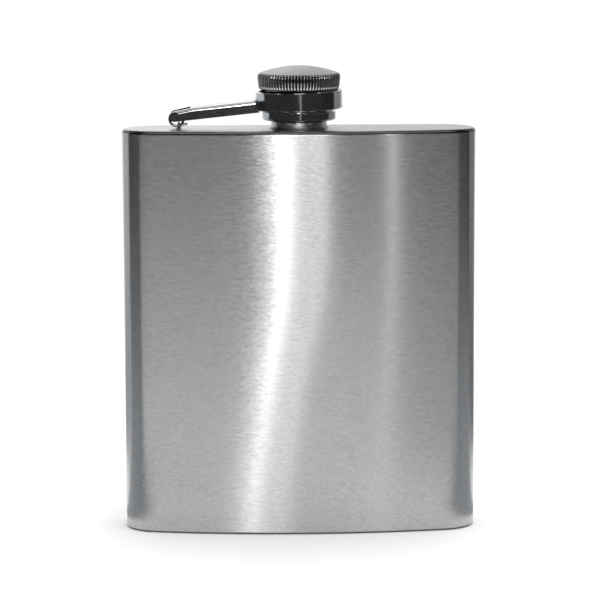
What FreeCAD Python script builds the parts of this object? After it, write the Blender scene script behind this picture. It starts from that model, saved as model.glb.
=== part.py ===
import FreeCAD, Part
import math
import os

from FreeCAD import Vector

# Stainless steel hip flask with a captive screw cap.
#
# Frame: millimetres, +Z up, the flask stands on z = 0 with the middle of its footprint at the
# origin.  +X runs along the wide side, +Y points to the flat back, so the bowed front faces -Y.
# The cap is screwed home.  Its arm lies along -X and is hinged on a ring near the left shoulder.

os.makedirs("parts", exist_ok=True)

ORIGIN = Vector(0, 0, 0)
UP = Vector(0, 0, 1)
ALONG_Y = Vector(0, 1, 0)
LIFTING = Vector(0, -1, 0)  # a turn about this lifts what points along +X
TINY = 1e-6

# ---------------------------------------------------------------- driving dimensions
# bottle
WIDTH = 94.0                # overall, along X
HEIGHT = 107.8              # from the underside to the shoulder plate
FRONT_RADIUS = 217.0        # bow of the front
END_RADIUS = 9.2            # half round narrow sides
SHEET = 0.6                 # wall, shoulder and base plate
SHOULDER_EDGE_RADIUS = 1.15
SHOULDER_SKIRT = 1.9        # pressed rim of the shoulder plate, down to its weld
BASE_EDGE_RADIUS = 0.7
BASE_SKIRT = 1.5
BEAD_HEIGHT = 0.4           # seam welds, ground flush outside
BEAD_INWARD = 0.06          # how far they stand out inside
SEAM_WIDTH = 0.8            # upright seam in the back of the wrapped wall

# neck, heights measured from the top of the shoulder plate
BORE_RADIUS = 5.2
NECK_BASE_RADIUS = 7.5
NECK_BASE_HEIGHT = 2.1
NECK_ROOT_RADIUS = 6.0
NECK_CREST_RADIUS = 6.6
NECK_HEIGHT = 11.0
NECK_EDGE = 0.2             # broken edges of the foot and of the lip
NECK_THREAD_START = 3.4
NECK_THREAD_TURNS = 3.5
THREAD_PITCH = 1.8
THREAD_HALF_FOOT = 0.36     # half widths of the ridge, as shares of the pitch
THREAD_HALF_CREST = 0.12
THREAD_SINK = 0.15          # how deep the ridge's foot sits in its wall
SPIGOT_RADIUS = 6.5         # passes through the shoulder plate
SPIGOT_DEPTH = 1.2
NECK_WELD = 0.6
NECK_WELD_HOLLOW = 0.35     # how far the fillet weld's face sags, as a share of its leg

# cap
CAP_RIM_RADIUS = 10.95
CAP_RIM_BOTTOM = 10.7
CAP_RIM_TOP = 14.5
CAP_DOME_RIM = 14.6
CAP_APEX = 16.5
CAP_DOME_RADIUS = 10.45     # where the smooth dome meets the knurling
CAP_CONE_BOTTOM = 9.6       # coned underside of the head
CAP_SHELL = 1.1
CAP_HOLLOW_SHARE = 0.6      # the hollow under the dome narrows to this share of its width
CAP_HOLLOW_SLOPE = 0.6
KNURL_COUNT = 80
KNURL_DEPTH = 0.32
KNURL_CHAMFER = 0.35
SLEEVE_RADIUS = 9.2
SLEEVE_BORE = 7.9
SLEEVE_BOTTOM = 2.3
SLEEVE_ROOF = 12.1
SLEEVE_TOP = 12.9
SLEEVE_THREAD_CREST = 7.38
SLEEVE_THREAD_START = 7.7
SLEEVE_THREAD_TURNS = 1.4
RING_RADIUS = 9.9           # retaining ring pressed on the sleeve, it keeps the collar on
RING_TOP = 4.57
RING_CHAMFER = 0.45
RING_EDGE = 0.15
SEAL_RADIUS = 7.85
SEAL_BOTTOM = 11.05

# captive arm with its collar
COLLAR_RADIUS = 11.55
COLLAR_INNER_RADIUS = 10.6
COLLAR_LIP_RADIUS = 9.5
COLLAR_LIP_HEIGHT = 0.8
COLLAR_BOTTOM = 5.1
COLLAR_TOP = 9.95
COLLAR_TILT = 1.6           # degrees, the loose collar hangs a little lower on the arm's side
COLLAR_EDGE = 0.18
ARM_WIDTH = 8.5
ARM_THICKNESS = 2.55
ARM_SLOPE = 6.0             # degrees, the arm rises towards the collar
ARM_CROWN = 0.8             # rounding of the upper edges
ARM_RISE = 0.55             # how far the arm's top stands above the ears
ARM_RISE_END = 4.6          # from the pin to where the arm has its full thickness
ARM_ROOT_FILLET = 1.2       # where the arm runs into the collar
FORK_SLOT = 5.4
FORK_SLOT_LENGTH = 4.35     # from the pin to the end of the slot
EAR_RADIUS = 1.3

# hinge
PIN_X = -32.85
PIN_Z = 3.4
PIN_RADIUS = 0.45
PIN_PROUD = 0.12
PIN_CHAMFER = 0.1
LINK_WIRE = 0.7             # diameters of the two wires
STAPLE_WIRE = 0.6
HINGE_PLAY = 0.05           # running clearance of both wires
LINK_RADIUS = 1.85          # centre line of the ring
LINK_LEAN = 30.0            # degrees, the ring leans away from the cap
LINK_TAIL = 1.8
LINK_TAIL_FOOT = -62.0      # degrees round the ring, where the tail leaves it
LINK_TAIL_RISE = 10.0       # degrees
LINK_TAIL_TAPER = 0.9       # the tail's thickness, as a share of the wire
STAPLE_CORNER = 0.7
STAPLE_HALF_WIDTH = 2.0
STAPLE_WELD_RADIUS = 0.75
STAPLE_WELD_HEIGHT = 0.45

# ---------------------------------------------------------------- derived dimensions
END_X = WIDTH / 2 - END_RADIUS
FRONT_RISE = math.sqrt((FRONT_RADIUS - END_RADIUS) ** 2 - END_X ** 2)
THICKNESS = FRONT_RADIUS - FRONT_RISE + END_RADIUS
END_Y = THICKNESS / 2 - END_RADIUS
FRONT_CENTRE_Y = FRONT_RADIUS - THICKNESS / 2
WALL_BOTTOM = BASE_SKIRT + BEAD_HEIGHT
WALL_TOP = HEIGHT - SHOULDER_SKIRT - BEAD_HEIGHT
LEAN = math.radians(LINK_LEAN)
LINK_REACH = LINK_RADIUS - LINK_WIRE / 2 - HINGE_PLAY - PIN_RADIUS
STAPLE_REACH = LINK_REACH + LINK_RADIUS - LINK_WIRE / 2 - HINGE_PLAY - STAPLE_WIRE / 2
LINK_X = PIN_X + LINK_REACH * math.sin(LEAN)
LINK_Z = PIN_Z - LINK_REACH * math.cos(LEAN)
STAPLE_X = PIN_X + STAPLE_REACH * math.sin(LEAN)
STAPLE_Z = PIN_Z - STAPLE_REACH * math.cos(LEAN)


def save(name, shape):
    """Write one named piece."""
    shape.exportStep("parts/" + name + ".step")


# ---------------------------------------------------------------- shared shapes
def section(inset, z):
    """Outline of the bottle, moved inwards by the inset: bowed front, half round ends, flat back."""
    front = FRONT_RADIUS - inset
    end = END_RADIUS - inset
    reach = FRONT_RADIUS - END_RADIUS
    side = Vector(END_X / reach, -FRONT_RISE / reach, 0)
    centre = Vector(0, FRONT_CENTRE_Y, z)
    right = centre + side * front
    left = Vector(-right.x, right.y, z)
    apex = Vector(0, FRONT_CENTRE_Y - front, z)
    back = END_Y + end
    edges = [
        Part.Arc(left, apex, right),
        Part.Arc(right, Vector(END_X + end, END_Y, z), Vector(END_X, back, z)),
        Part.LineSegment(Vector(END_X, back, z), Vector(-END_X, back, z)),
        Part.Arc(Vector(-END_X, back, z), Vector(-END_X - end, END_Y, z), left),
    ]
    return Part.Wire([edge.toShape() for edge in edges])


def block(inset, low, high):
    """Solid bottle shape between two heights."""
    return Part.Face(section(inset, low)).extrude(UP * (high - low))


def edges_at(shape, z):
    """Edges that lie flat at one height."""
    flat = []
    for edge in shape.Edges:
        box = edge.BoundBox
        if abs(box.ZMin - z) < TINY and abs(box.ZMax - z) < TINY:
            flat.append(edge)
    return flat


def polygon_face(corners):
    """Flat face with straight sides."""
    return Part.Face(Part.makePolygon(corners + [corners[0]]))


def turned(points):
    """Body of revolution about the neck's axis; points are (radius, height above the shoulder)."""
    profile = polygon_face([Vector(radius, 0, HEIGHT + height) for radius, height in points])
    return profile.revolve(ORIGIN, UP, 360)


def disc(radius, low, high):
    """Upright cylinder on the neck's axis; heights are above the shoulder."""
    return Part.makeCylinder(radius, high - low, Vector(0, 0, HEIGHT + low))


def bar(radius, start, end):
    """Round bar between two points."""
    run = end - start
    return Part.makeCylinder(radius, run.Length, start, run)


def thread_ridge(root, crest, start, turns):
    """Helical ridge of trapezoid section, its foot sunk into the wall that carries it."""
    outward = 1 if crest > root else -1
    foot = root - outward * THREAD_SINK
    helix = Part.makeHelix(THREAD_PITCH, THREAD_PITCH * turns, root)
    half_foot = THREAD_PITCH * THREAD_HALF_FOOT
    half_crest = THREAD_PITCH * THREAD_HALF_CREST
    corners = [
        Vector(foot, 0, -half_foot),
        Vector(crest, 0, -half_crest),
        Vector(crest, 0, half_crest),
        Vector(foot, 0, half_foot),
    ]
    profile = Part.makePolygon(corners + [corners[0]])
    ridge = Part.Wire(helix.Edges).makePipeShell([profile], True, True)
    ridge.translate(Vector(0, 0, HEIGHT + start))
    return ridge


# ---------------------------------------------------------------- bottle
def seam_strip(thickness):
    """Upright strip in the middle of the back, from the outer face inwards."""
    corner = Vector(-SEAM_WIDTH / 2, THICKNESS / 2 - thickness, WALL_BOTTOM)
    return Part.makeBox(SEAM_WIDTH, thickness, WALL_TOP - WALL_BOTTOM, corner)


def body_wall():
    """Wrapped sheet wall, open along the seam in the middle of the back."""
    wall = block(0, WALL_BOTTOM, WALL_TOP).cut(block(SHEET, WALL_BOTTOM, WALL_TOP))
    return wall.cut(seam_strip(SHEET))


def back_seam_weld():
    """Upright weld, ground flush outside."""
    return seam_strip(SHEET + BEAD_INWARD)


def base_plate():
    """Shallow pressed pan with a rounded edge; the flask stands on its flat underside."""
    pan = block(0, 0, BASE_SKIRT)
    pan = pan.makeFillet(BASE_EDGE_RADIUS, edges_at(pan, 0))
    return pan.cut(block(SHEET, SHEET, BASE_SKIRT))


def shoulder_plate():
    """Pressed pan turned upside down, with the hole for the neck."""
    low = HEIGHT - SHOULDER_SKIRT
    pan = block(0, low, HEIGHT)
    pan = pan.makeFillet(SHOULDER_EDGE_RADIUS, edges_at(pan, HEIGHT))
    hollow = block(SHEET, low, HEIGHT - SHEET)
    hollow = hollow.makeFillet(SHOULDER_EDGE_RADIUS - SHEET, edges_at(hollow, HEIGHT - SHEET))
    return pan.cut(hollow).cut(disc(SPIGOT_RADIUS, -2 * SHEET, SHEET))


def weld_bead(low):
    """Ground butt weld round the bottle."""
    high = low + BEAD_HEIGHT
    return block(0, low, high).cut(block(SHEET + BEAD_INWARD, low, high))


# ---------------------------------------------------------------- neck
def neck_spout():
    """Turned spout: flanged foot, spigot through the plate, threaded tube with a broken lip."""
    tube = turned([
        (BORE_RADIUS, -SPIGOT_DEPTH),
        (SPIGOT_RADIUS, -SPIGOT_DEPTH),
        (SPIGOT_RADIUS, 0),
        (NECK_BASE_RADIUS, 0),
        (NECK_BASE_RADIUS, NECK_BASE_HEIGHT - NECK_EDGE),
        (NECK_BASE_RADIUS - NECK_EDGE, NECK_BASE_HEIGHT),
        (NECK_ROOT_RADIUS, NECK_BASE_HEIGHT),
        (NECK_ROOT_RADIUS, NECK_HEIGHT - NECK_EDGE),
        (NECK_ROOT_RADIUS - NECK_EDGE, NECK_HEIGHT),
        (BORE_RADIUS, NECK_HEIGHT),
    ])
    ridge = thread_ridge(NECK_ROOT_RADIUS, NECK_CREST_RADIUS, NECK_THREAD_START, NECK_THREAD_TURNS)
    return tube.fuse(ridge)


def neck_weld():
    """Fillet weld round the foot of the spout."""
    hollow = NECK_WELD * NECK_WELD_HOLLOW
    return turned([
        (NECK_BASE_RADIUS, 0),
        (NECK_BASE_RADIUS + NECK_WELD, 0),
        (NECK_BASE_RADIUS + hollow, hollow),
        (NECK_BASE_RADIUS, NECK_WELD),
    ])


# ---------------------------------------------------------------- hinge
def staple():
    """Wire staple that stands on the shoulder plate; the ring hooks under its bar."""
    half = STAPLE_HALF_WIDTH
    top = HEIGHT + STAPLE_Z
    low = top - STAPLE_CORNER
    bend = STAPLE_CORNER * (1 - math.sqrt(0.5))
    path = [
        Part.LineSegment(Vector(STAPLE_X, -half, HEIGHT), Vector(STAPLE_X, -half, low)),
        Part.LineSegment(
            Vector(STAPLE_X, STAPLE_CORNER - half, top), Vector(STAPLE_X, half - STAPLE_CORNER, top)
        ),
        Part.LineSegment(Vector(STAPLE_X, half, low), Vector(STAPLE_X, half, HEIGHT)),
    ]
    for place, side in ((1, -1), (3, 1)):
        foot_end = Vector(STAPLE_X, side * half, low)
        middle = Vector(STAPLE_X, side * (half - bend), top - bend)
        bar_end = Vector(STAPLE_X, side * (half - STAPLE_CORNER), top)
        ends = (foot_end, middle, bar_end) if side < 0 else (bar_end, middle, foot_end)
        path.insert(place, Part.Arc(*ends))
    wire = Part.Wire([piece.toShape() for piece in path])
    circle = Part.Wire(Part.Circle(Vector(STAPLE_X, -half, HEIGHT), UP, STAPLE_WIRE / 2).toShape())
    return wire.makePipeShell([circle], True, True)


def staple_welds(wire):
    """Low weld mounds round the two feet of the staple."""
    mounds = []
    rise = (STAPLE_WELD_RADIUS ** 2 - STAPLE_WELD_HEIGHT ** 2) / (2 * STAPLE_WELD_HEIGHT)
    below = Part.makeBox(WIDTH, WIDTH, WIDTH, Vector(-WIDTH, -WIDTH / 2, HEIGHT - WIDTH))
    for y in (-STAPLE_HALF_WIDTH, STAPLE_HALF_WIDTH):
        ball = Part.makeSphere(rise + STAPLE_WELD_HEIGHT, Vector(STAPLE_X, y, HEIGHT - rise))
        mounds.append(ball.cut(below).cut(wire))
    return Part.makeCompound([solid for mound in mounds for solid in mound.Solids])


def polar(angle, length):
    """Vector in the XZ plane; the angle is in degrees from +X towards +Z."""
    turn = math.radians(angle)
    return Vector(math.cos(turn), 0, math.sin(turn)) * length


def link_ring():
    """Wire ring between staple and pin, with the short tail of its closed end."""
    radius = LINK_WIRE / 2
    centre = Vector(LINK_X, 0, HEIGHT + LINK_Z)
    ring = Part.makeTorus(LINK_RADIUS, radius, centre, ALONG_Y)
    foot = centre + polar(LINK_TAIL_FOOT, LINK_RADIUS)
    tip = foot + polar(LINK_TAIL_RISE, LINK_TAIL)
    tail = bar(radius * LINK_TAIL_TAPER, foot, tip)
    end = Part.makeSphere(radius * LINK_TAIL_TAPER, tip)
    return ring.fuse([tail, end])


def hinge_pin():
    """Pin riveted across the fork."""
    half = ARM_WIDTH / 2 + PIN_PROUD
    axis = Vector(PIN_X, 0, HEIGHT + PIN_Z)
    pin = bar(PIN_RADIUS, axis - ALONG_Y * half, axis + ALONG_Y * half)
    return pin.makeChamfer(PIN_CHAMFER, [edge for edge in pin.Edges if edge.Closed])


# ---------------------------------------------------------------- captive arm
def collar():
    """Loose ring round the cap, with an inward lip that the cap's retaining ring catches."""
    ring = turned([
        (COLLAR_LIP_RADIUS, COLLAR_BOTTOM),
        (COLLAR_RADIUS - COLLAR_EDGE, COLLAR_BOTTOM),
        (COLLAR_RADIUS, COLLAR_BOTTOM + COLLAR_EDGE),
        (COLLAR_RADIUS, COLLAR_TOP - COLLAR_EDGE),
        (COLLAR_RADIUS - COLLAR_EDGE, COLLAR_TOP),
        (COLLAR_INNER_RADIUS, COLLAR_TOP),
        (COLLAR_INNER_RADIUS, COLLAR_BOTTOM + COLLAR_LIP_HEIGHT),
        (COLLAR_LIP_RADIUS, COLLAR_BOTTOM + COLLAR_LIP_HEIGHT),
    ])
    return tilted(ring)


def tilted(shape):
    """Lean the collar's shapes about the middle of the collar."""
    middle = Vector(0, 0, HEIGHT + (COLLAR_BOTTOM + COLLAR_TOP) / 2)
    shape.rotate(middle, LIFTING, COLLAR_TILT)
    return shape


def arm_strip(along, across, pin):
    """Flat sloping arm with a round end; pin is the near end of the pin's axis."""
    low = pin - across * EAR_RADIUS
    high = pin + across * EAR_RADIUS
    root = (-PIN_X - COLLAR_INNER_RADIUS) / along.x
    top = across * (ARM_THICKNESS - EAR_RADIUS + ARM_RISE)
    corners = [low, low + along * root, pin + along * root + top, pin + along * ARM_RISE_END + top, high]
    strip = polygon_face(corners).extrude(ALONG_Y * ARM_WIDTH)
    return strip.fuse(Part.makeCylinder(EAR_RADIUS, ARM_WIDTH, pin, ALONG_Y)).removeSplitter()


def top_edges(strip, across, pin):
    """Long upper edges of the arm, on both sides."""
    found = []
    for edge in strip.Edges:
        on_side = edge.BoundBox.YLength < TINY
        straight = edge.Curve.TypeId == "Part::GeomLine"
        middle = (edge.Vertexes[0].Point + edge.Vertexes[-1].Point) * 0.5
        above = (middle - pin).dot(across) > PIN_RADIUS
        if on_side and straight and above and edge.Length > ARM_THICKNESS + ARM_RISE:
            found.append(edge)
    return found


def fork_slot(along, across, pin):
    """The gap between the two ears."""
    slot = Part.makeBox(FORK_SLOT_LENGTH + 2 * EAR_RADIUS, FORK_SLOT, 6 * EAR_RADIUS)
    slot.rotate(ORIGIN, LIFTING, ARM_SLOPE)
    start = pin - along * (2 * EAR_RADIUS) - across * (3 * EAR_RADIUS)
    slot.translate(Vector(start.x, -FORK_SLOT / 2, start.z))
    return slot


def root_edges(casting):
    """Upright edges where the arm's sides meet the collar."""
    found = []
    for edge in casting.Edges:
        middle = edge.BoundBox.Center
        on_side = edge.BoundBox.YLength < TINY and abs(middle.y) > ARM_WIDTH / 2 - TINY
        on_collar = abs(math.hypot(middle.x, middle.y) - COLLAR_RADIUS) < COLLAR_EDGE
        if on_side and on_collar and middle.z > HEIGHT + COLLAR_BOTTOM + COLLAR_EDGE:
            found.append(edge)
    return found


def captive_arm():
    """Arm and collar, cast as one piece."""
    along = polar(ARM_SLOPE, 1)
    across = polar(ARM_SLOPE + 90, 1)
    pin = Vector(PIN_X, -ARM_WIDTH / 2, HEIGHT + PIN_Z)
    strip = arm_strip(along, across, pin)
    strip = strip.makeFillet(ARM_CROWN, top_edges(strip, across, pin))
    hole = bar(PIN_RADIUS, pin - ALONG_Y * ARM_WIDTH, pin + ALONG_Y * (2 * ARM_WIDTH))
    inside = tilted(disc(COLLAR_INNER_RADIUS, SLEEVE_BOTTOM, CAP_APEX))
    strip = strip.cut(inside).cut(hole).cut(fork_slot(along, across, pin))
    casting = collar().fuse(strip).removeSplitter()
    return casting.makeFillet(ARM_ROOT_FILLET, root_edges(casting))


# ---------------------------------------------------------------- cap
def knurled_band():
    """Ridged prism that gives the cap's rim its knurling."""
    steps = 2 * KNURL_COUNT
    corners = []
    for step in range(steps):
        angle = 2 * math.pi * step / steps
        radius = CAP_RIM_RADIUS - (step % 2) * KNURL_DEPTH
        corners.append(Vector(radius * math.cos(angle), radius * math.sin(angle), HEIGHT))
    return polygon_face(corners).extrude(UP * (CAP_APEX + CAP_SHELL))


def dome_height(radius):
    """Height of the shallow spherical dome at a radius."""
    sag = CAP_APEX - CAP_DOME_RIM
    ball = (CAP_DOME_RADIUS ** 2 + sag ** 2) / (2 * sag)
    return CAP_APEX - ball + math.sqrt(ball ** 2 - radius ** 2)


def head_blank():
    """The head before knurling: coned underside, chamfered rim, dome."""
    chamfered = CAP_RIM_RADIUS - KNURL_CHAMFER
    half_way = CAP_DOME_RADIUS / 2
    points = [
        Vector(0, 0, CAP_APEX),
        Vector(0, 0, CAP_CONE_BOTTOM),
        Vector(SLEEVE_RADIUS, 0, CAP_CONE_BOTTOM),
        Vector(chamfered, 0, CAP_RIM_BOTTOM),
        Vector(CAP_RIM_RADIUS, 0, CAP_RIM_BOTTOM + KNURL_CHAMFER),
        Vector(CAP_RIM_RADIUS, 0, CAP_RIM_TOP - KNURL_CHAMFER),
        Vector(CAP_DOME_RADIUS, 0, CAP_DOME_RIM),
    ]
    outline = [Part.LineSegment(start, end) for start, end in zip(points, points[1:])]
    outline.append(Part.Arc(points[-1], Vector(half_way, 0, dome_height(half_way)), points[0]))
    profile = Part.Face(Part.Wire([edge.toShape() for edge in outline]))
    profile.translate(UP * HEIGHT)
    return profile.revolve(ORIGIN, UP, 360)


def cap_head():
    """Domed and knurled head, hollow above the sleeve."""
    ceiling = CAP_RIM_TOP - CAP_SHELL
    cavity_top = CAP_APEX - CAP_SHELL
    hollow = turned([
        (0, ceiling),
        (SLEEVE_RADIUS, ceiling),
        (SLEEVE_RADIUS * CAP_HOLLOW_SHARE, cavity_top - CAP_HOLLOW_SLOPE),
        (0, cavity_top),
    ])
    pocket = disc(SLEEVE_RADIUS, CAP_CONE_BOTTOM, ceiling)
    return head_blank().common(knurled_band()).cut(pocket).cut(hollow)


def cap_sleeve():
    """Threaded cup pressed into the head.  Its thread is drawn clear of the neck's."""
    cup = disc(SLEEVE_RADIUS, SLEEVE_BOTTOM, SLEEVE_TOP)
    cup = cup.cut(disc(SLEEVE_BORE, SLEEVE_BOTTOM, SLEEVE_ROOF))
    ridge = thread_ridge(SLEEVE_BORE, SLEEVE_THREAD_CREST, SLEEVE_THREAD_START, SLEEVE_THREAD_TURNS)
    return cup.fuse(ridge)


def cap_retaining_ring():
    """Ring pressed on the foot of the sleeve."""
    return turned([
        (SLEEVE_RADIUS, SLEEVE_BOTTOM),
        (RING_RADIUS - RING_CHAMFER, SLEEVE_BOTTOM),
        (RING_RADIUS, SLEEVE_BOTTOM + RING_CHAMFER),
        (RING_RADIUS, RING_TOP - RING_EDGE),
        (RING_RADIUS - RING_EDGE, RING_TOP),
        (SLEEVE_RADIUS, RING_TOP),
    ])


# ---------------------------------------------------------------- write the pieces
save("body_wall", body_wall())
save("back_seam_weld", back_seam_weld())
save("base_plate", base_plate())
save("base_weld_bead", weld_bead(BASE_SKIRT))
save("shoulder_plate", shoulder_plate())
save("shoulder_weld_bead", weld_bead(WALL_TOP))
save("neck_spout", neck_spout())
save("neck_weld", neck_weld())
staple_wire = staple()
save("hinge_staple", staple_wire)
save("staple_welds", staple_welds(staple_wire))
save("link_ring", link_ring())
save("hinge_pin", hinge_pin())
save("captive_arm", captive_arm())
save("cap_head", cap_head())
save("cap_sleeve", cap_sleeve())
save("cap_retaining_ring", cap_retaining_ring())
save("cap_seal", disc(SEAL_RADIUS, SEAL_BOTTOM, SLEEVE_ROOF))
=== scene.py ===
import math

import bmesh
import bpy
from mathutils import Matrix, Vector


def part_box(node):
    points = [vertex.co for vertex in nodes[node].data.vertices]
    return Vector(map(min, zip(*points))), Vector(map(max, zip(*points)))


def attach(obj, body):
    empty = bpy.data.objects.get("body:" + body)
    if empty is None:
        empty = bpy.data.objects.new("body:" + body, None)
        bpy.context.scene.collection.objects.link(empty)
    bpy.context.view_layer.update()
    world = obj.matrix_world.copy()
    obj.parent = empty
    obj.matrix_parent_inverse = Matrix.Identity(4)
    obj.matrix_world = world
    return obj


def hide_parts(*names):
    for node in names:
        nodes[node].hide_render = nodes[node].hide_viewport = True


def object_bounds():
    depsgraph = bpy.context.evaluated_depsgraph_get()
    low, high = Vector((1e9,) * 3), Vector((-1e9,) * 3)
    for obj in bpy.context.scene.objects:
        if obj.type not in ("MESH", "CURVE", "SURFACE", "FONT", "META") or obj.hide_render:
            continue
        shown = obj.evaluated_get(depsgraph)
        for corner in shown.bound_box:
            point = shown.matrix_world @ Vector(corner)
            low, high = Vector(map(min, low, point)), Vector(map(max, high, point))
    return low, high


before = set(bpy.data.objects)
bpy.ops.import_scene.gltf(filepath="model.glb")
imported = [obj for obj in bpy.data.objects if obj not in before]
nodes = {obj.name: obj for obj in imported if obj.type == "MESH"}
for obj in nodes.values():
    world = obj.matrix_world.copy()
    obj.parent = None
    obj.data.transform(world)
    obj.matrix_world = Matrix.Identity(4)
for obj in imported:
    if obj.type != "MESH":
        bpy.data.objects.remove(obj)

# Looks of a stainless steel hip flask: a sideways brushed bottle, a polished captive arm and collar,
# a knurled cap with a satin dome.  Metres, +Z up, the bowed front faces -Y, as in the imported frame.

cad_low, cad_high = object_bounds()
scene = bpy.context.scene
MM = 0.001

# ---------------------------------------------------------------- places read from the frame
wall_low, wall_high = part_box("body_wall")
head_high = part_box("cap_head")[1]
HALF_WIDTH = wall_high.x
HALF_DEPTH = wall_high.y
HALF_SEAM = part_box("back_seam_weld")[1].x
SHOULDER_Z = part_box("shoulder_plate")[1].z

# ---------------------------------------------------------------- bottle wall, sizes as in the design
FRONT_RADIUS = 217.0 * MM
END_RADIUS = 9.2 * MM
SHEET = 0.6 * MM
FRONT_STEPS = 96            # mesh steps across the bowed front
END_STEPS = 28              # round each narrow side
BACK_STEPS = 30             # across the back, from the seam to either side
WALL_ROWS = 40
WALL_CREASE = math.radians(40)
UV_PER_METRE = 10

# ---------------------------------------------------------------- cap head
RIM_RADIUS = 10.95 * MM
DOME_RADIUS = 10.45 * MM    # where the dome meets the knurling
DOME_RIM = 14.6 * MM        # height of that line over the shoulder plate
DOME_STEPS = 14
KNURL_COUNT = 80
KNURL_DEPTH = 0.36 * MM     # a little deeper than in the CAD, which has 0.32
KNURL_STEPS = 10            # mesh steps across one bar
GROOVE_SHARE = 0.65         # below this share of a bar's height the grooves get a painted shade
HEAD_CREASE = math.radians(55)
# the head from its hollow inside up to the dome: radius in mm, height over the shoulder plate in mm,
# share of the knurling
HEAD_STATIONS = (
    (0.0, 12.9, 0.0),
    (9.2, 12.9, 0.0),
    (9.2, 9.6, 0.0),
    (9.6, 9.85, 0.0),
    (10.1, 10.17, 0.0),
    (10.38, 10.4, 0.05),
    (10.5, 10.52, 0.35),
    (10.62, 10.7, 0.8),
    (10.72, 10.92, 1.0),
    (10.75, 11.2, 1.0),
    (10.81, 11.8, 1.0),
    (10.87, 12.4, 1.0),
    (10.92, 12.9, 1.0),
    (10.95, 13.3, 1.0),
    (10.95, 13.8, 1.0),
    (10.9, 14.02, 1.0),
    (10.8, 14.2, 1.0),
    (10.7, 14.38, 1.0),
    (10.58, 14.5, 0.9),
    (10.5, 14.57, 0.45),
)

# ---------------------------------------------------------------- brushing
# noise scales in repeats per metre along X, Y and Z: long across the flask and short up it
FINE_SCRATCHES = (450, 450, 2400)
MEDIUM_SCRATCHES = (110, 110, 1700)
BROAD_PATCHES = (14, 14, 40)
BRUSH_GRAIN = (900, 900, 2300)
BRUSH_DEPTH = 0.0035 * MM
GRAIN_LEAN = 0.0055         # how far the grain and the patches turn the normal, in radians
PATCH_LEAN = 0.002
# where the front is not quite even: centre and reach across, top and bottom, lean in radians
LEANS = (
    (-14 * MM, 26 * MM, 70 * MM, -4 * MM, 0.045),
    (5 * MM, 11 * MM, 84 * MM, 10 * MM, 0.042),
)


# ================================================================ node helpers
def principled(tree, metallic):
    """Principled shader; metallic is 1 for metal and 0 for anything else."""
    shader = tree.nodes.new("ShaderNodeBsdfPrincipled")
    shader.inputs["Metallic"].default_value = metallic
    return shader


def show(tree, closure):
    """Put a closure on the material's surface."""
    tree.links.new(closure, tree.nodes["Material Output"].inputs["Surface"])


def new_material(name, metallic=1.0):
    """Node material with one shader; returns the material, its tree and the shader."""
    material = bpy.data.materials.new(name)
    material.use_nodes = True
    tree = material.node_tree
    tree.nodes.clear()
    tree.nodes.new("ShaderNodeOutputMaterial")
    shader = principled(tree, metallic)
    show(tree, shader.outputs[0])
    return material, tree, shader


def connect(tree, source, target):
    """Link a socket to a socket, or set the target to a plain value."""
    if isinstance(source, (int, float)):
        target.default_value = source
    else:
        tree.links.new(source, target)


def math_node(tree, operation, first, second=0.0, third=0.0):
    """Math node; every operand is a socket or a number."""
    node = tree.nodes.new("ShaderNodeMath")
    node.operation = operation
    connect(tree, first, node.inputs[0])
    connect(tree, second, node.inputs[1])
    connect(tree, third, node.inputs[2])
    return node.outputs[0]


def blend_values(tree, first, second, share):
    """The first value with a share of the second."""
    rest = math_node(tree, "MULTIPLY", first, 1 - share)
    return math_node(tree, "MULTIPLY_ADD", second, share, rest)


def object_point(tree):
    """Object coordinates, in metres."""
    return tree.nodes.new("ShaderNodeTexCoord").outputs["Object"]


def split_axes(tree, vector):
    """The X, Y and Z of a vector socket."""
    split = tree.nodes.new("ShaderNodeSeparateXYZ")
    tree.links.new(vector, split.inputs[0])
    return split.outputs


def noise(tree, scale, detail=2.0, roughness=0.5, shift=(0.0, 0.0, 0.0)):
    """Noise over object coordinates; scale holds the repeats per metre along X, Y and Z."""
    mapping = tree.nodes.new("ShaderNodeMapping")
    mapping.inputs["Scale"].default_value = scale
    mapping.inputs["Location"].default_value = shift
    texture = tree.nodes.new("ShaderNodeTexNoise")
    texture.inputs["Scale"].default_value = 1.0
    texture.inputs["Detail"].default_value = detail
    texture.inputs["Roughness"].default_value = roughness
    tree.links.new(object_point(tree), mapping.inputs["Vector"])
    tree.links.new(mapping.outputs[0], texture.inputs["Vector"])
    return texture.outputs["Fac"]


def remap(tree, value, from_low, from_high, to_low, to_high, smooth=False):
    """Clamped map range."""
    node = tree.nodes.new("ShaderNodeMapRange")
    node.interpolation_type = "SMOOTHSTEP" if smooth else "LINEAR"
    connect(tree, value, node.inputs[0])
    for index, number in enumerate((from_low, from_high, to_low, to_high), start=1):
        node.inputs[index].default_value = number
    return node.outputs[0]


def spread(tree, value, low=0.0, high=1.0):
    """Noise mostly lies between 0.3 and 0.7: this spreads it from low to high."""
    return remap(tree, value, 0.3, 0.7, low, high)


def mix_colour(tree, factor, first, second):
    """Blend of two colours."""
    node = tree.nodes.new("ShaderNodeMix")
    node.data_type = "RGBA"
    connect(tree, factor, node.inputs["Factor"])
    for socket, colour in ((node.inputs[6], first), (node.inputs[7], second)):
        if isinstance(colour, tuple):
            socket.default_value = (*colour, 1.0)
        else:
            tree.links.new(colour, socket)
    return node.outputs[2]


def mix_closures(tree, factor, first, second):
    """Blend of two shaders, put on the material's surface."""
    blend = tree.nodes.new("ShaderNodeMixShader")
    connect(tree, factor, blend.inputs[0])
    tree.links.new(first.outputs[0], blend.inputs[1])
    tree.links.new(second.outputs[0], blend.inputs[2])
    show(tree, blend.outputs[0])


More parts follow.
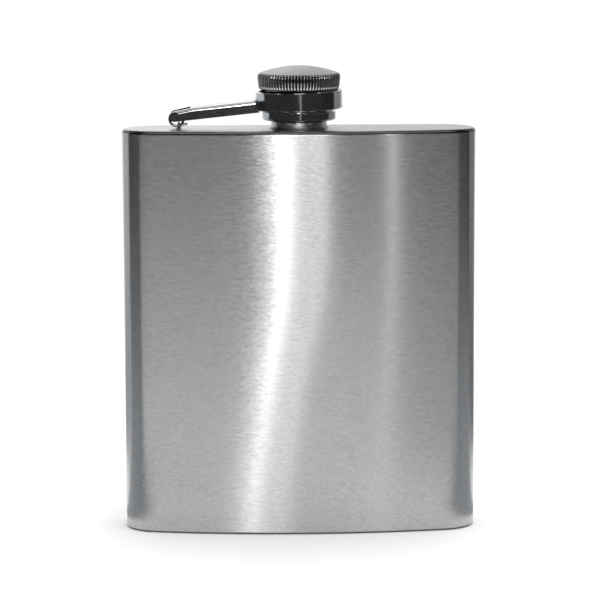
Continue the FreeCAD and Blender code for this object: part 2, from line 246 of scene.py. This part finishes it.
def bump(tree, height, distance, below=None):
    """Normal of a relief as deep as the distance, laid over another normal if there is one."""
    node = tree.nodes.new("ShaderNodeBump")
    node.inputs["Strength"].default_value = 1.0
    node.inputs["Distance"].default_value = distance
    connect(tree, height, node.inputs["Height"])
    if below is not None:
        tree.links.new(below, node.inputs["Normal"])
    return node.outputs["Normal"]


# ================================================================ materials
def sheet_lean(tree):
    """Sideways lean, in radians, of the not quite even front: it grows towards the base."""
    axes = split_axes(tree, object_point(tree))
    total = 0.0
    for centre, reach, top, bottom, amount in LEANS:
        across = math_node(tree, "DIVIDE", math_node(tree, "SUBTRACT", axes[0], centre), reach)
        widened = math_node(tree, "POWER", math_node(tree, "COSH", across), 2.0)
        bell = math_node(tree, "DIVIDE", 1.0, widened)
        growth = remap(tree, axes[2], bottom, top, amount, 0.0, smooth=True)
        total = math_node(tree, "MULTIPLY_ADD", bell, growth, total)
    return total


def leaning_normal(tree, lean):
    """Surface normal turned sideways by a small angle."""
    geometry = tree.nodes.new("ShaderNodeNewGeometry")
    sideways = tree.nodes.new("ShaderNodeCombineXYZ")
    connect(tree, lean, sideways.inputs[0])
    summed = tree.nodes.new("ShaderNodeVectorMath")
    tree.links.new(geometry.outputs["Normal"], summed.inputs[0])
    tree.links.new(sideways.outputs[0], summed.inputs[1])
    unit = tree.nodes.new("ShaderNodeVectorMath")
    unit.operation = "NORMALIZE"
    tree.links.new(summed.outputs[0], unit.inputs[0])
    return unit.outputs[0]


def brush(tree, shader, tangent_kind):
    """Sideways brushed steel with long fine scratches, so that lights stretch into upright bands."""
    fine = noise(tree, FINE_SCRATCHES, roughness=0.6)
    medium = noise(tree, MEDIUM_SCRATCHES, shift=(3.1, 0, 5.7))
    broad = noise(tree, BROAD_PATCHES, shift=(9.3, 2.2, 1.4))
    grain = noise(tree, BRUSH_GRAIN, shift=(5.5, 1.0, 8.0))
    streaks = blend_values(tree, fine, medium, 0.25)
    shade = blend_values(tree, streaks, grain, 0.6)
    darker, lighter = (0.435, 0.435, 0.44), (0.62, 0.615, 0.61)
    colour = mix_colour(tree, spread(tree, shade), darker, lighter)
    tree.links.new(colour, shader.inputs["Base Color"])
    patches = spread(tree, broad, -0.01, 0.01)
    rough = math_node(tree, "ADD", spread(tree, fine, 0.205, 0.24), patches)
    tree.links.new(rough, shader.inputs["Roughness"])
    shader.inputs["Anisotropic"].default_value = 1.0
    tangent = tree.nodes.new("ShaderNodeTangent")
    if tangent_kind == "round":
        tangent.direction_type = "RADIAL"
        tangent.axis = "Z"
        shader.inputs["Anisotropic Rotation"].default_value = 0.25
    else:
        tangent.direction_type = "UV_MAP"
        tangent.uv_map = "brush"
    tree.links.new(tangent.outputs[0], shader.inputs["Tangent"])
    jitter = remap(tree, grain, 0.25, 0.75, -GRAIN_LEAN, GRAIN_LEAN)
    sway = remap(tree, broad, 0.25, 0.75, -PATCH_LEAN, PATCH_LEAN)
    lean = math_node(tree, "ADD", sheet_lean(tree), math_node(tree, "ADD", jitter, sway))
    normal = bump(tree, streaks, BRUSH_DEPTH, below=leaning_normal(tree, lean))
    tree.links.new(normal, shader.inputs["Normal"])


def brushed_steel(name, tangent_kind):
    """The brushed finish on its own."""
    material, tree, shader = new_material(name)
    brush(tree, shader, tangent_kind)
    return material


def polished_steel(name, base, roughness):
    """Mirror polish with faint wiping marks and a trace of unevenness."""
    material, tree, shader = new_material(name)
    cloud = noise(tree, (220, 220, 220), detail=3.0)
    marks = noise(tree, (900, 260, 2600), shift=(1.7, 4.2, 0.3))
    darker = tuple(0.9 * channel for channel in base)
    colour = mix_colour(tree, remap(tree, cloud, 0.35, 0.65, 0, 1), darker, base)
    tree.links.new(colour, shader.inputs["Base Color"])
    rough = remap(tree, marks, 0.35, 0.7, roughness * 0.75, roughness * 1.5)
    tree.links.new(rough, shader.inputs["Roughness"])
    uneven = bump(tree, cloud, 0.012 * MM)
    tree.links.new(bump(tree, marks, 0.0006 * MM, below=uneven), shader.inputs["Normal"])
    return material


def plate_steel():
    """Pressed plate: satin on the flat, polished round the edge with a painted shade there, brushed
    with the wall on the skirt.
    """
    material, tree, shader = new_material("plate_steel")
    geometry = tree.nodes.new("ShaderNodeNewGeometry")
    upright = math_node(tree, "ABSOLUTE", split_axes(tree, geometry.outputs["Normal"])[2])
    flat = remap(tree, upright, 0.80, 0.98, 0, 1, smooth=True)
    skirt = remap(tree, upright, 0.12, 0.32, 1, 0, smooth=True)
    grain = noise(tree, (70, 2600, 2600))
    cloud = noise(tree, (60, 60, 60), detail=3.0, shift=(2.0, 7.0, 1.0))
    # the near-black edge colour round the rounded plate edges is painted shade
    darker, lighter, edge = (0.56, 0.56, 0.565), (0.62, 0.62, 0.62), (0.16, 0.16, 0.165)
    satin = mix_colour(tree, spread(tree, cloud), darker, lighter)
    tree.links.new(mix_colour(tree, flat, edge, satin), shader.inputs["Base Color"])
    satin_rough = spread(tree, grain, 0.24, 0.34)
    edge_rough = spread(tree, cloud, 0.10, 0.17)
    difference = math_node(tree, "SUBTRACT", satin_rough, edge_rough)
    rough = math_node(tree, "MULTIPLY_ADD", flat, difference, edge_rough)
    tree.links.new(rough, shader.inputs["Roughness"])
    tree.links.new(bump(tree, grain, 0.0015 * MM), shader.inputs["Normal"])
    brushed = principled(tree, 1.0)
    brush(tree, brushed, "round")
    mix_closures(tree, skirt, shader, brushed)
    return material


def weld_steel():
    """Ground weld: duller, finely rippled, a little darker in places."""
    material, tree, shader = new_material("weld_steel")
    ripple = noise(tree, (1400, 1400, 1400), detail=3.0)
    tint = noise(tree, (180, 180, 180), shift=(0.4, 6.1, 2.8))
    darker, lighter = (0.34, 0.34, 0.345), (0.50, 0.495, 0.49)
    colour = mix_colour(tree, remap(tree, tint, 0.35, 0.65, 0, 1), darker, lighter)
    tree.links.new(colour, shader.inputs["Base Color"])
    tree.links.new(spread(tree, ripple, 0.26, 0.42), shader.inputs["Roughness"])
    tree.links.new(bump(tree, ripple, 0.02 * MM), shader.inputs["Normal"])
    return material


def satin_dome():
    """Cap dome: fine turned rings under a satin polish."""
    material, tree, shader = new_material("satin_dome")
    axes = split_axes(tree, object_point(tree))
    y_squared = math_node(tree, "MULTIPLY", axes[1], axes[1])
    radius = math_node(tree, "SQRT", math_node(tree, "MULTIPLY_ADD", axes[0], axes[0], y_squared))
    rings = tree.nodes.new("ShaderNodeTexNoise")
    rings.noise_dimensions = "1D"
    rings.inputs["Scale"].default_value = 5200
    rings.inputs["Detail"].default_value = 2.0
    tree.links.new(radius, rings.inputs["W"])
    cloud = noise(tree, (260, 260, 260), detail=3.0)
    darker, lighter = (0.385, 0.385, 0.405), (0.46, 0.46, 0.485)
    tree.links.new(mix_colour(tree, spread(tree, cloud), darker, lighter), shader.inputs["Base Color"])
    tree.links.new(spread(tree, rings.outputs["Fac"], 0.26, 0.36), shader.inputs["Roughness"])
    shader.inputs["Anisotropic"].default_value = 0.35
    tree.links.new(bump(tree, rings.outputs["Fac"], 0.002 * MM), shader.inputs["Normal"])
    return material


def seal_plastic():
    """Soft white sealing disc, slightly mottled."""
    material, tree, shader = new_material("seal_plastic", metallic=0.0)
    cloud = noise(tree, (500, 500, 500), detail=3.0)
    colour = mix_colour(tree, cloud, (0.76, 0.75, 0.72), (0.88, 0.88, 0.86))
    tree.links.new(colour, shader.inputs["Base Color"])
    tree.links.new(spread(tree, cloud, 0.42, 0.55), shader.inputs["Roughness"])
    tree.links.new(bump(tree, cloud, 0.02 * MM), shader.inputs["Normal"])
    return material


SHEET_STEEL = brushed_steel("brushed_sheet", "uv")
SEAM_STEEL = brushed_steel("brushed_seam", "round")
PLATE_STEEL = plate_steel()
WELD_STEEL = weld_steel()
POLISHED = polished_steel("polished_steel", base=(0.66, 0.66, 0.67), roughness=0.07)
KNURL_STEEL = polished_steel("knurl_steel", base=(0.66, 0.66, 0.68), roughness=0.05)
# darker base than the other polished steel: painted shade on the wires
SHADED_WIRE_STEEL = polished_steel("wire_steel", base=(0.26, 0.26, 0.27), roughness=0.14)
# paler and warmer base than the other polished steel: painted light on the neck
NECK_LIT_STEEL = polished_steel("neck_steel_painted_light", base=(0.86, 0.87, 0.83), roughness=0.25)
# nearly black steel for the knurl grooves: painted shade
GROOVE_SHADE_STEEL = polished_steel("groove_painted_shade", base=(0.10, 0.10, 0.11), roughness=0.30)
DOME_STEEL = satin_dome()
SEAL = seal_plastic()


# ================================================================ mesh helpers
def add_mesh(name, points, faces, materials, face_materials=None, smooth=True):
    """New mesh object in the scene."""
    mesh = bpy.data.meshes.new(name)
    mesh.from_pydata(points, [], faces)
    for material in materials:
        mesh.materials.append(material)
    if face_materials:
        mesh.polygons.foreach_set("material_index", face_materials)
    if smooth:
        mesh.shade_smooth()
    mesh.update()
    piece = bpy.data.objects.new(name, mesh)
    scene.collection.objects.link(piece)
    return piece


def ring_faces(rows, count):
    """Quads of a closed tube of rows with count points each."""
    faces = []
    for row in range(rows - 1):
        low, high = row * count, (row + 1) * count
        for step in range(count):
            following = (step + 1) % count
            faces.append((low + step, low + following, high + following, high + step))
    return faces


# ================================================================ bottle wall
def section(inset):
    """Points round the wall, anticlockwise from above, from one side of the back seam to the other."""
    centre_x = HALF_WIDTH - END_RADIUS
    tilt = math.asin(centre_x / (FRONT_RADIUS - END_RADIUS))
    front_y = FRONT_RADIUS - HALF_DEPTH
    end_y = HALF_DEPTH - END_RADIUS
    front = FRONT_RADIUS - inset
    end = END_RADIUS - inset
    turn = math.pi - tilt
    points = []
    for step in range(BACK_STEPS):
        share = step / BACK_STEPS
        points.append((-HALF_SEAM - (centre_x - HALF_SEAM) * share, end_y + end))
    for step in range(END_STEPS):
        angle = math.pi / 2 + turn * step / END_STEPS
        points.append((-centre_x + end * math.cos(angle), end_y + end * math.sin(angle)))
    for step in range(FRONT_STEPS):
        angle = tilt * (2 * step / FRONT_STEPS - 1)
        points.append((front * math.sin(angle), front_y - front * math.cos(angle)))
    for step in range(END_STEPS):
        angle = tilt - math.pi / 2 + turn * step / END_STEPS
        points.append((centre_x + end * math.cos(angle), end_y + end * math.sin(angle)))
    for step in range(BACK_STEPS + 1):
        share = step / BACK_STEPS
        points.append((centre_x - (centre_x - HALF_SEAM) * share, end_y + end))
    return points


def run_lengths(points):
    """Length along an open outline at each point."""
    lengths = [0.0]
    for here, there in zip(points, points[1:]):
        lengths.append(lengths[-1] + math.dist(here, there))
    return lengths


def bottle_wall():
    """Wrapped wall, open along the back seam, with a UV map whose U runs upwards for the brushing."""
    outer = section(0.0)
    inner = section(SHEET)
    outline = outer + inner[::-1]
    count = len(outline)
    rise = wall_high.z - wall_low.z
    heights = [wall_low.z + rise * row / WALL_ROWS for row in range(WALL_ROWS + 1)]
    points = [(x, y, z) for z in heights for x, y in outline]
    faces = ring_faces(len(heights), count)
    top = WALL_ROWS * count
    for step in range(len(outer) - 1):
        mate = count - 1 - step
        faces.append((step + 1, step, mate, mate - 1))
        faces.append((top + step, top + step + 1, top + mate - 1, top + mate))
    piece = add_mesh("bottle_wall", points, faces, [SHEET_STEEL])
    piece.data.set_sharp_from_angle(angle=WALL_CREASE)
    layer = piece.data.uv_layers.new(name="brush")
    run = run_lengths(outer)
    run += run[::-1]
    for loop in piece.data.loops:
        height = piece.data.vertices[loop.vertex_index].co.z
        along = run[loop.vertex_index % count]
        layer.data[loop.index].uv = (height * UV_PER_METRE, along * UV_PER_METRE)
    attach(piece, "flask")
    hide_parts("body_wall")


# ================================================================ cap head
def ridge(step):
    """Height of the knurling at a step round the rim: rounded bars with sharp grooves between them."""
    across = 2 * (step % KNURL_STEPS) / KNURL_STEPS - 1
    return 1 - across ** 2


def head_rows():
    """Rows of the head from its inside to the apex: radius, height, share of the knurling."""
    rows = [(radius * MM, SHOULDER_Z + height * MM, share) for radius, height, share in HEAD_STATIONS]
    apex = head_high.z
    sag = apex - (SHOULDER_Z + DOME_RIM)
    ball = (DOME_RADIUS ** 2 + sag ** 2) / (2 * sag)
    for step in range(DOME_STEPS + 1):
        radius = DOME_RADIUS * math.cos(math.pi / 2 * step / DOME_STEPS)
        rows.append((radius, apex - ball + math.sqrt(ball ** 2 - radius ** 2), 0.0))
    return rows


def weld_poles(piece):
    """Join the points that meet on the axis."""
    work = bmesh.new()
    work.from_mesh(piece.data)
    bmesh.ops.remove_doubles(work, verts=work.verts, dist=0.001 * MM)
    work.to_mesh(piece.data)
    work.free()
    piece.data.update()


def cap_head():
    """Domed head with rounded straight knurling that runs over both chamfers."""
    rows = head_rows()
    count = KNURL_COUNT * KNURL_STEPS
    points = []
    for radius, z, share in rows:
        for step in range(count):
            reach = radius * head_high.x / RIM_RADIUS - share * KNURL_DEPTH * (1 - ridge(step))
            angle = 2 * math.pi * step / count
            points.append((reach * math.cos(angle), reach * math.sin(angle), z))
    faces = ring_faces(len(rows), count)
    # faces deep in the knurl grooves get the nearly black steel: painted shade in the grooves
    finishes = [KNURL_STEEL, DOME_STEEL, GROOVE_SHADE_STEEL]
    first_dome_row = len(HEAD_STATIONS) - 1
    face_finishes = []
    for index in range(len(faces)):
        row, step = divmod(index, count)
        if row >= first_dome_row:
            finish = DOME_STEEL
        elif HEAD_STATIONS[row][2] > 0 and ridge(step + 0.5) < GROOVE_SHARE:
            finish = GROOVE_SHADE_STEEL
        else:
            finish = KNURL_STEEL
        face_finishes.append(finishes.index(finish))
    piece = add_mesh("cap_knurled_head", points, faces, finishes, face_finishes)
    piece.data.set_sharp_from_angle(angle=HEAD_CREASE)
    weld_poles(piece)
    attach(piece, "cap")
    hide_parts("cap_head")


bottle_wall()
cap_head()

# ================================================================ materials of the CAD pieces that stay
STAYING = {
    "back_seam_weld": SEAM_STEEL,
    "base_weld_bead": SEAM_STEEL,
    "shoulder_weld_bead": SEAM_STEEL,
    "neck_weld": WELD_STEEL,
    "staple_welds": WELD_STEEL,
    "base_plate": PLATE_STEEL,
    "shoulder_plate": PLATE_STEEL,
    "neck_spout": NECK_LIT_STEEL,
    "captive_arm": POLISHED,
    "cap_sleeve": POLISHED,
    "cap_retaining_ring": POLISHED,
    "hinge_staple": SHADED_WIRE_STEEL,
    "link_ring": SHADED_WIRE_STEEL,
    "hinge_pin": SHADED_WIRE_STEEL,
    "cap_seal": SEAL,
}
for name, material in STAYING.items():
    for slot in nodes[name].material_slots:
        slot.link = "OBJECT"
        slot.material = material

# ================================================================ stage
FLOOR_HALF = 14.0
CARD_STEPS = 48
WORLD_STRENGTH = 0.95
EDGE = 0.01                 # fade of a crisp edge, in degrees
DARK = 0.025                # shade of black cloth
WHITE = (1.0, 1.0, 1.0)
COOL = (0.95, 1.0, 1.04)
WARM = (1.0, 1.0, 0.985)
LILAC = (0.94, 0.92, 1.0)
# profiles of the cards round the flask: radius and height of each bend
FLAG_WALL = ((1.30, -0.10), (1.30, 1.35))
CEILING = ((1.30, 1.35), (0.90, 1.65), (0.02, 1.90))
TALL_FLAG = FLAG_WALL + CEILING[1:]
FRONT_FLOOR = ((0.45, 0.002), (1.30, 0.002))
SIDE_FLOOR = ((0.36, 0.002), (1.30, 0.002))
NEAR_FLOOR = ((0.049, 0.002), (0.36, 0.002))
RIGHT_SHADE = ((0.08, 0.003), (0.45, 0.003))
LEFT_SHADE = ((0.055, 0.003), (0.45, 0.003))
GREY_WALL = ((1.33, -0.10), (1.33, 1.02))
GREY_FLOOR = ((0.20, 0.001), (1.33, 0.001))
GREY_NEAR = ((0.12, 0.002), (0.42, 0.002))
BACK_WALL = ((1.36, -0.10), (1.36, 1.04))
HIGH_BACK = ((1.30, 1.00), (0.90, 1.50), (0.60, 1.72), (0.02, 1.90))
HIGHER_BACK = ((1.36, 1.04), (0.93, 1.53), (0.61, 1.75), (0.02, 1.92))
# name, profile, azimuths of its two sides from the front, fades at those sides, shade, tint
CARDS = (
    ("front_flag", FLAG_WALL, (-62, 62), (EDGE, EDGE), DARK, WHITE),
    ("front_ceiling", CEILING, (-62, 62), (EDGE, EDGE), 0.60, WHITE),
    ("front_floor_flag", FRONT_FLOOR, (-62, 62), (EDGE, EDGE), DARK, WHITE),
    ("left_flag", TALL_FLAG, (-109, -62), (8, EDGE), DARK, WHITE),
    ("left_floor_flag", SIDE_FLOOR, (-109, -62), (8, EDGE), DARK, WHITE),
    ("left_near_floor", NEAR_FLOOR, (-109, -62), (8, EDGE), 0.34, COOL),
    ("right_flag", TALL_FLAG, (62, 109), (EDGE, 8), 0.02, WHITE),
    ("right_floor_flag", SIDE_FLOOR, (62, 109), (EDGE, 8), DARK, WHITE),
    ("right_near_floor", NEAR_FLOOR, (62, 109), (EDGE, 8), 0.34, COOL),
    ("right_floor_shade", RIGHT_SHADE, (13, 62), (22, EDGE), 0.50, WHITE),
    ("left_floor_shade", LEFT_SHADE, (-62, -6), (EDGE, 16), 0.72, WHITE),
    ("left_grey_card", GREY_WALL, (-158, -99), (24, EDGE), 0.46, COOL),
    ("left_grey_floor", GREY_FLOOR, (-158, -99), (24, EDGE), 0.48, COOL),
    ("left_grey_near", GREY_NEAR, (-158, -99), (24, EDGE), 0.28, COOL),
    ("right_grey_card", GREY_WALL, (99, 158), (EDGE, 24), 0.21, COOL),
    ("right_grey_floor", GREY_FLOOR, (99, 158), (EDGE, 24), 0.18, COOL),
    ("right_grey_near", GREY_NEAR, (99, 158), (EDGE, 24), 0.14, COOL),
    ("left_backdrop", BACK_WALL, (-180.1, -125), (EDGE, EDGE), 0.80, WHITE),
    ("right_backdrop", BACK_WALL, (125, 180.1), (EDGE, EDGE), 0.60, WHITE),
    ("left_high_side", HIGH_BACK, (-158, -109), (24, EDGE), 0.10, WHITE),
    ("right_high_side", HIGH_BACK, (109, 158), (EDGE, 24), 0.10, WHITE),
    ("left_high_back", HIGHER_BACK, (-180.1, -125), (EDGE, EDGE), 0.70, WHITE),
    ("right_high_back", HIGHER_BACK, (125, 180.1), (EDGE, EDGE), 0.62, WHITE),
)
# name, azimuth from the front, distance, width, heights of its foot and its top, power, colour
STRIPS = (
    ("main_strip", -1.8, 1.20, 0.013, 0.12, 0.55, 0.76, WARM),
    ("wide_strip", 0.0, 1.22, 0.25, 0.14, 0.55, 1.06, WARM),
    ("arc_strip", 4.9, 1.21, 0.022, 0.22, 0.55, 0.14, WHITE),
    ("second_strip", 17.0, 1.20, 0.010, 0.14, 0.55, 0.19, LILAC),
    ("low_panel", 3.5, 1.19, 0.12, -0.05, 0.08, 0.012, WHITE),
)
# name, place, target, size, power
SOFT_LIGHTS = (
    ("overhead", (0.3, -0.2, 1.8), (0, 0, 0), 1.6, 14),
    ("far_floor_light", (0, 4, 3), (0, 4, 0), 5.0, 22),
)


def floor():
    """Large pale floor."""
    low, high = -FLOOR_HALF, FLOOR_HALF
    corners = [(low, low, 0), (high, low, 0), (high, high, 0), (low, high, 0)]
    material, tree, shader = new_material("pale_floor", metallic=0.0)
    shader.inputs["Roughness"].default_value = 0.9
    shader.inputs["Specular IOR Level"].default_value = 0.1
    grain = noise(tree, (30, 30, 30))
    colour = mix_colour(tree, grain, (0.90, 0.90, 0.90), (0.93, 0.93, 0.93))
    tree.links.new(colour, shader.inputs["Base Color"])
    piece = add_mesh("floor", corners, [(0, 1, 2, 3)], [material], smooth=False)
    piece.location.z = cad_low.z


def card_cloth(name, azimuths, fades, shade, tint):
    """Cloth that thins out towards its two sides; all angles are in degrees."""
    material, tree, shader = new_material(name, metallic=0.0)
    shader.inputs["Roughness"].default_value = 1.0
    shader.inputs["Specular IOR Level"].default_value = 0.0
    darker = tuple(shade * channel for channel in tint)
    lighter = tuple(1.3 * channel for channel in darker)
    colour = mix_colour(tree, noise(tree, (6, 6, 6)), darker, lighter)
    tree.links.new(colour, shader.inputs["Base Color"])
    axes = split_axes(tree, object_point(tree))
    forward = math_node(tree, "MULTIPLY", axes[1], -1.0)
    azimuth = math_node(tree, "DEGREES", math_node(tree, "ARCTAN2", axes[0], forward))
    left = remap(tree, azimuth, azimuths[0], azimuths[0] + fades[0], 0, 1, smooth=True)
    right = remap(tree, azimuth, azimuths[1] - fades[1], azimuths[1], 1, 0, smooth=True)
    clear = tree.nodes.new("ShaderNodeBsdfTransparent")
    mix_closures(tree, math_node(tree, "MULTIPLY", left, right), clear, shader)
    return material


def bent_card(name, profile, azimuths, fades, shade, tint):
    """Card bent round the flask, seen only in reflections; it throws no shadow."""
    start, end = (math.radians(angle) for angle in azimuths)
    points = []
    for radius, z in profile:
        for step in range(CARD_STEPS + 1):
            angle = start + (end - start) * step / CARD_STEPS
            points.append((radius * math.sin(angle), -radius * math.cos(angle), z))
    width = CARD_STEPS + 1
    faces = []
    for row in range(len(profile) - 1):
        for low in range(row * width, row * width + CARD_STEPS):
            faces.append((low, low + 1, low + width + 1, low + width))
    piece = add_mesh(name, points, faces, [card_cloth(name, azimuths, fades, shade, tint)])
    piece.visible_camera = False
    piece.visible_diffuse = False
    piece.visible_shadow = False
    piece.visible_transmission = False


def area_lamp(name, shape, power, place, target):
    """Area light turned to its target; the camera doesn't see it.  Returns the lamp and its light."""
    light = bpy.data.lights.new(name, "AREA")
    light.shape = shape
    light.energy = power
    lamp = bpy.data.objects.new(name, light)
    scene.collection.objects.link(lamp)
    lamp.location = place
    lamp.rotation_euler = (Vector(target) - lamp.location).to_track_quat("-Z", "Y").to_euler()
    lamp.visible_camera = False
    return lamp, light


def strip_light(name, azimuth, distance, width, low, high, power, colour):
    """Upright strip that faces the flask; it lights only reflections."""
    angle = math.radians(azimuth)
    place = Vector((distance * math.sin(angle), -distance * math.cos(angle), (low + high) / 2))
    lamp, light = area_lamp(name, "RECTANGLE", power, place, (0, 0, place.z))
    light.size = width
    light.size_y = high - low
    light.color = colour
    lamp.visible_diffuse = False


def soft_light(name, place, target, size, power):
    """Large soft round light for the floor; the metal doesn't reflect it."""
    lamp, light = area_lamp(name, "DISK", power, place, target)
    light.size = size
    lamp.visible_glossy = False


def pale_world():
    """Even pale surroundings."""
    world = bpy.data.worlds.new("studio")
    scene.world = world
    world.use_nodes = True
    background = world.node_tree.nodes["Background"]
    background.inputs["Color"].default_value = (*WHITE, 1.0)
    background.inputs["Strength"].default_value = WORLD_STRENGTH


floor()
for card in CARDS:
    bent_card(*card)
for strip in STRIPS:
    strip_light(*strip)
for lamp in SOFT_LIGHTS:
    soft_light(*lamp)
pale_world()

# ================================================================ camera
CAMERA_AT = Vector((-12.9 * MM, -694.8 * MM, 169.2 * MM))
CAMERA_DOWN = math.radians(8.795)
CAMERA_YAW = math.radians(1.073)
CAMERA_ROLL = math.radians(-0.212)
FOCAL_SHARE = 4.382         # focal length over the picture's width
SENSOR_WIDTH = 36.0
CLIP_END = 100.0


def photo_camera():
    """Camera a little left of the middle, looking down on the flask."""
    data = bpy.data.cameras.new("camera")
    data.sensor_width = SENSOR_WIDTH
    data.lens = SENSOR_WIDTH * FOCAL_SHARE
    data.clip_end = CLIP_END
    camera = bpy.data.objects.new("camera", data)
    scene.collection.objects.link(camera)
    down = Matrix.Rotation(math.pi / 2 - CAMERA_DOWN, 4, "X")
    yaw = Matrix.Rotation(-CAMERA_YAW, 4, "Z")
    roll = Matrix.Rotation(CAMERA_ROLL, 4, "Z")
    camera.matrix_world = Matrix.Translation(CAMERA_AT) @ yaw @ down @ roll
    scene.camera = camera


photo_camera()
scene.view_settings.view_transform = "Standard"
scene.view_settings.look = "None"
